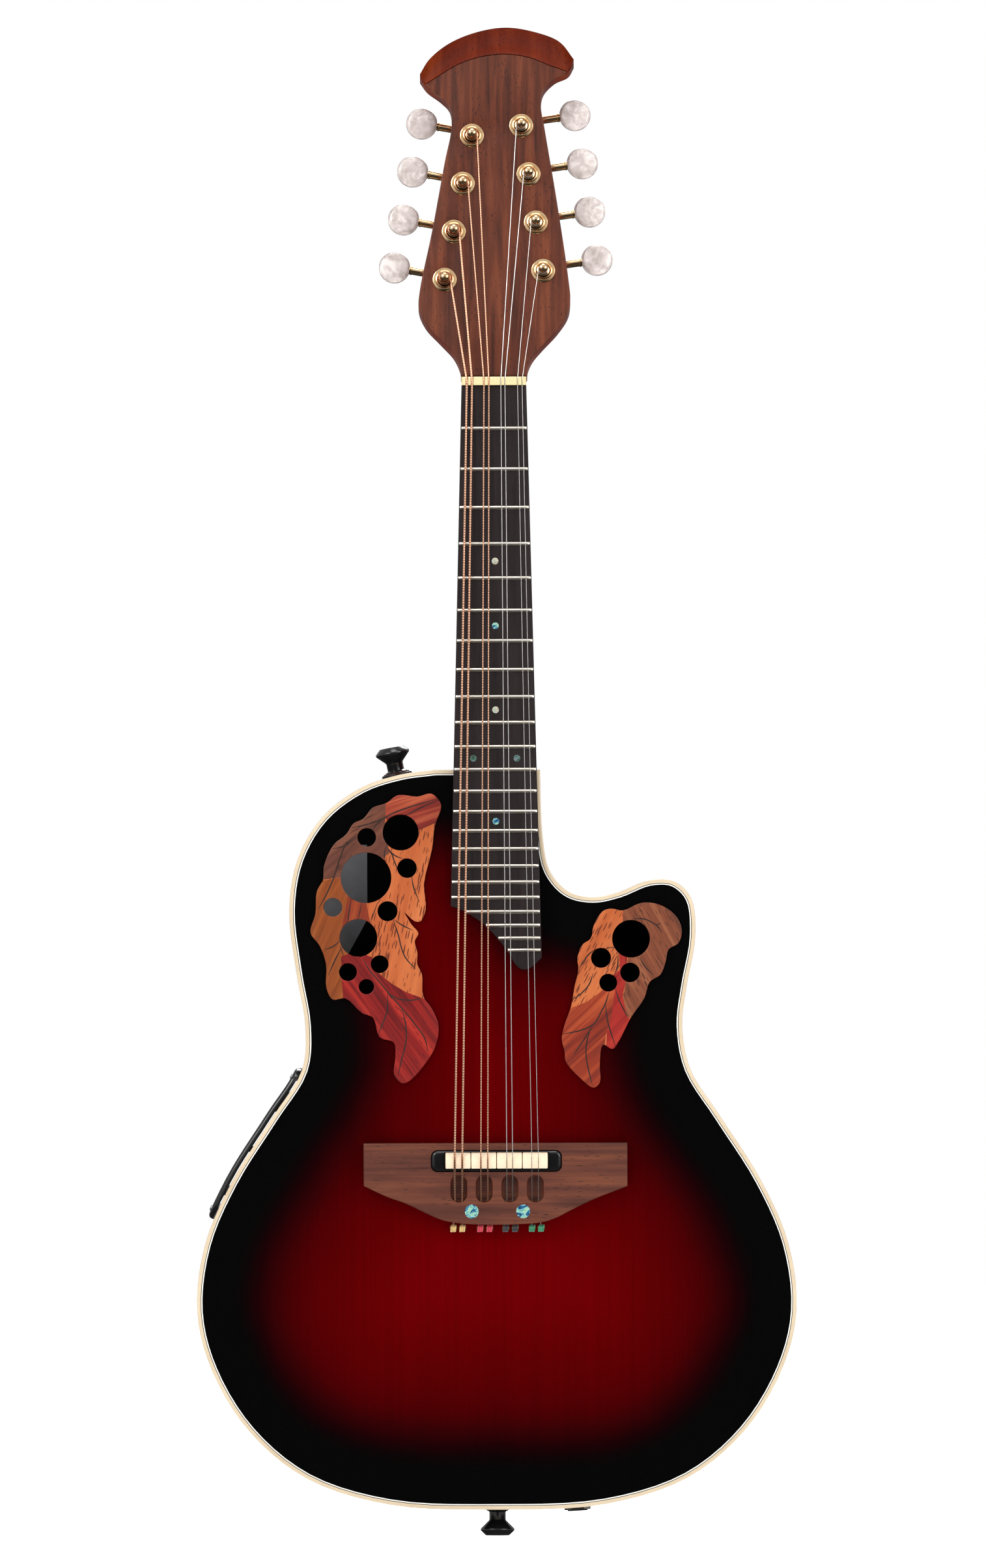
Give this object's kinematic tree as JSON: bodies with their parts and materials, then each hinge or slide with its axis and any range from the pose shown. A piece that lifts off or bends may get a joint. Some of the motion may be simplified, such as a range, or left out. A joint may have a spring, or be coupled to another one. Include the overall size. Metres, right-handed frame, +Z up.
{
  "type": "mandolin",
  "caption": "Upright eight-string round-back cutaway mandolin with leaf-shaped sound-hole panels, worm-geared tuners, a walnut bridge and a side control panel.",
  "frame": {"origin": "centre of the flat outer end of the lower strap button", "axes": "+Z up the neck towards the headstock, -Y out of the soundboard towards the player's audience, +X towards the treble side with the cutaway"},
  "size_m": [0.2774, 0.071, 0.6986],
  "materials": {
    "shell": "black moulded composite with a fine texture",
    "top": "spruce under a deep red to black sunburst lacquer, high gloss",
    "spruce": "bare planed spruce",
    "binding": "cream, polished",
    "leaf": "marquetry of several hardwoods, satin",
    "neck_wood": "mahogany, satin lacquer",
    "walnut": "open-pored walnut, satin",
    "fingerboard": "dark rosewood, oiled",
    "bone": "bone, lightly polished",
    "black_fittings": "black, semi-gloss",
    "pearl": "pearl-patterned plastic, polished",
    "gold": "gold plated, polished",
    "nickel": "nickel plated",
    "bronze_wire": "bronze winding",
    "steel_wire": "plain bright wire",
    "steel": "plain rod"
  },
  "bodies": {
    "instrument": {"bowl": "shell", "soundboard": "top", "soundboard_braces": "spruce", "binding": "binding", "bass_leaf_panel": "leaf", "treble_leaf_panel": "leaf", "neck": "neck_wood", "truss_rod": "steel", "headstock_veneer": "walnut", "fingerboard": "fingerboard", "nut": "bone", "bridge": "walnut", "saddle_tray": "black_fittings", "saddle_1": "bone", "saddle_2": "bone", "saddle_3": "bone", "saddle_4": "bone", "tuner_plate_bass": "gold", "tuner_plate_treble": "gold", "end_strap_button": "black_fittings", "shoulder_strap_button": "black_fittings", "output_jack": "nickel", "control_bezel": "black_fittings", "preamp_module": "black_fittings", "string_1": "bronze_wire", "string_2": "bronze_wire", "string_3": "bronze_wire", "string_4": "bronze_wire", "string_5": "steel_wire", "string_6": "steel_wire", "string_7": "steel_wire", "string_8": "steel_wire"},
    "tuner_knob_1": {"tuner_worm_shaft_1": "gold", "tuner_button_1": "pearl"},
    "string_post_1": {"tuner_post_1": "gold"},
    "tuner_knob_2": {"tuner_worm_shaft_2": "gold", "tuner_button_2": "pearl"},
    "string_post_2": {"tuner_post_2": "gold"},
    "tuner_knob_3": {"tuner_worm_shaft_3": "gold", "tuner_button_3": "pearl"},
    "string_post_3": {"tuner_post_3": "gold"},
    "tuner_knob_4": {"tuner_worm_shaft_4": "gold", "tuner_button_4": "pearl"},
    "string_post_4": {"tuner_post_4": "gold"},
    "tuner_knob_5": {"tuner_worm_shaft_5": "gold", "tuner_button_5": "pearl"},
    "string_post_5": {"tuner_post_5": "gold"},
    "tuner_knob_6": {"tuner_worm_shaft_6": "gold", "tuner_button_6": "pearl"},
    "string_post_6": {"tuner_post_6": "gold"},
    "tuner_knob_7": {"tuner_worm_shaft_7": "gold", "tuner_button_7": "pearl"},
    "string_post_7": {"tuner_post_7": "gold"},
    "tuner_knob_8": {"tuner_worm_shaft_8": "gold", "tuner_button_8": "pearl"},
    "string_post_8": {"tuner_post_8": "gold"},
    "volume_knob": {"volume_knob": "black_fittings"},
    "bass_slider": {"bass_slider": "black_fittings"},
    "treble_slider": {"treble_slider": "black_fittings"},
    "tuner_switch": {"tuner_switch": "black_fittings"}
  },
  "joints": [
    {"name": "tuner_turn_1", "type": "hinge", "parent": "instrument", "child": "tuner_knob_1", "pos_m": [-0.02157, 0.01179, 0.58303], "axis": [-0.9829, 0.0382, 0.1799], "continuous": true},
    {"name": "post_turn_1", "type": "hinge", "parent": "instrument", "child": "string_post_1", "pos_m": [-0.0226, -0.00794, 0.58159], "axis": [0, -0.9781, 0.2079], "continuous": true},
    {"name": "tuner_turn_2", "type": "hinge", "parent": "instrument", "child": "tuner_knob_2", "pos_m": [-0.0173, 0.01653, 0.60533], "axis": [-0.9829, 0.0382, 0.1799], "continuous": true},
    {"name": "post_turn_2", "type": "hinge", "parent": "instrument", "child": "string_post_2", "pos_m": [-0.01833, -0.00319, 0.6039], "axis": [0, -0.9781, 0.2079], "continuous": true},
    {"name": "tuner_turn_3", "type": "hinge", "parent": "instrument", "child": "tuner_knob_3", "pos_m": [-0.01303, 0.02128, 0.62764], "axis": [-0.9829, 0.0382, 0.1799], "continuous": true},
    {"name": "post_turn_3", "type": "hinge", "parent": "instrument", "child": "string_post_3", "pos_m": [-0.01406, 0.00155, 0.62621], "axis": [0, -0.9781, 0.2079], "continuous": true},
    {"name": "tuner_turn_4", "type": "hinge", "parent": "instrument", "child": "tuner_knob_4", "pos_m": [-0.00877, 0.02602, 0.64995], "axis": [-0.9829, 0.0382, 0.1799], "continuous": true},
    {"name": "post_turn_4", "type": "hinge", "parent": "instrument", "child": "string_post_4", "pos_m": [-0.0098, 0.00629, 0.64851], "axis": [0, -0.9781, 0.2079], "continuous": true},
    {"name": "tuner_turn_5", "type": "hinge", "parent": "instrument", "child": "tuner_knob_5", "pos_m": [0.0222, 0.01265, 0.58708], "axis": [0.9898, 0.0297, 0.1395], "continuous": true},
    {"name": "post_turn_5", "type": "hinge", "parent": "instrument", "child": "string_post_5", "pos_m": [0.023, -0.00708, 0.58561], "axis": [0, -0.9781, 0.2079], "continuous": true},
    {"name": "tuner_turn_6", "type": "hinge", "parent": "instrument", "child": "tuner_knob_6", "pos_m": [0.01889, 0.01743, 0.60954], "axis": [0.9898, 0.0297, 0.1395], "continuous": true},
    {"name": "post_turn_6", "type": "hinge", "parent": "instrument", "child": "string_post_6", "pos_m": [0.01969, -0.00231, 0.60807], "axis": [0, -0.9781, 0.2079], "continuous": true},
    {"name": "tuner_turn_7", "type": "hinge", "parent": "instrument", "child": "tuner_knob_7", "pos_m": [0.01558, 0.0222, 0.632], "axis": [0.9898, 0.0297, 0.1395], "continuous": true},
    {"name": "post_turn_7", "type": "hinge", "parent": "instrument", "child": "string_post_7", "pos_m": [0.01638, 0.00247, 0.63053], "axis": [0, -0.9781, 0.2079], "continuous": true},
    {"name": "tuner_turn_8", "type": "hinge", "parent": "instrument", "child": "tuner_knob_8", "pos_m": [0.01227, 0.02698, 0.65446], "axis": [0.9898, 0.0297, 0.1395], "continuous": true},
    {"name": "post_turn_8", "type": "hinge", "parent": "instrument", "child": "string_post_8", "pos_m": [0.01307, 0.00724, 0.65299], "axis": [0, -0.9781, 0.2079], "continuous": true},
    {"name": "volume_turn", "type": "hinge", "parent": "instrument", "child": "volume_knob", "pos_m": [-0.09792, 0.0058, 0.20079], "axis": [-0.8244, 0.2104, 0.5254], "range_deg": [-135, 135]},
    {"name": "bass_slide", "type": "slide", "parent": "instrument", "child": "bass_slider", "axis": [0.5374, 0, 0.8433], "range_m": [-0.009, 0.009]},
    {"name": "treble_slide", "type": "slide", "parent": "instrument", "child": "treble_slider", "axis": [0.5374, 0, 0.8433], "range_m": [-0.009, 0.009]},
    {"name": "tuner_press", "type": "slide", "parent": "instrument", "child": "tuner_switch", "axis": [0.8244, -0.2104, -0.5254], "range_m": [0, 0.0008], "stiffness_N_per_m": 200}
  ],
  "couplings": [
    {"joint": "post_turn_1", "follows": "tuner_turn_1", "ratio": -0.071429},
    {"joint": "post_turn_2", "follows": "tuner_turn_2", "ratio": -0.071429},
    {"joint": "post_turn_3", "follows": "tuner_turn_3", "ratio": -0.071429},
    {"joint": "post_turn_4", "follows": "tuner_turn_4", "ratio": -0.071429},
    {"joint": "post_turn_5", "follows": "tuner_turn_5", "ratio": 0.071429},
    {"joint": "post_turn_6", "follows": "tuner_turn_6", "ratio": 0.071429},
    {"joint": "post_turn_7", "follows": "tuner_turn_7", "ratio": 0.071429},
    {"joint": "post_turn_8", "follows": "tuner_turn_8", "ratio": 0.071429}
  ]
}
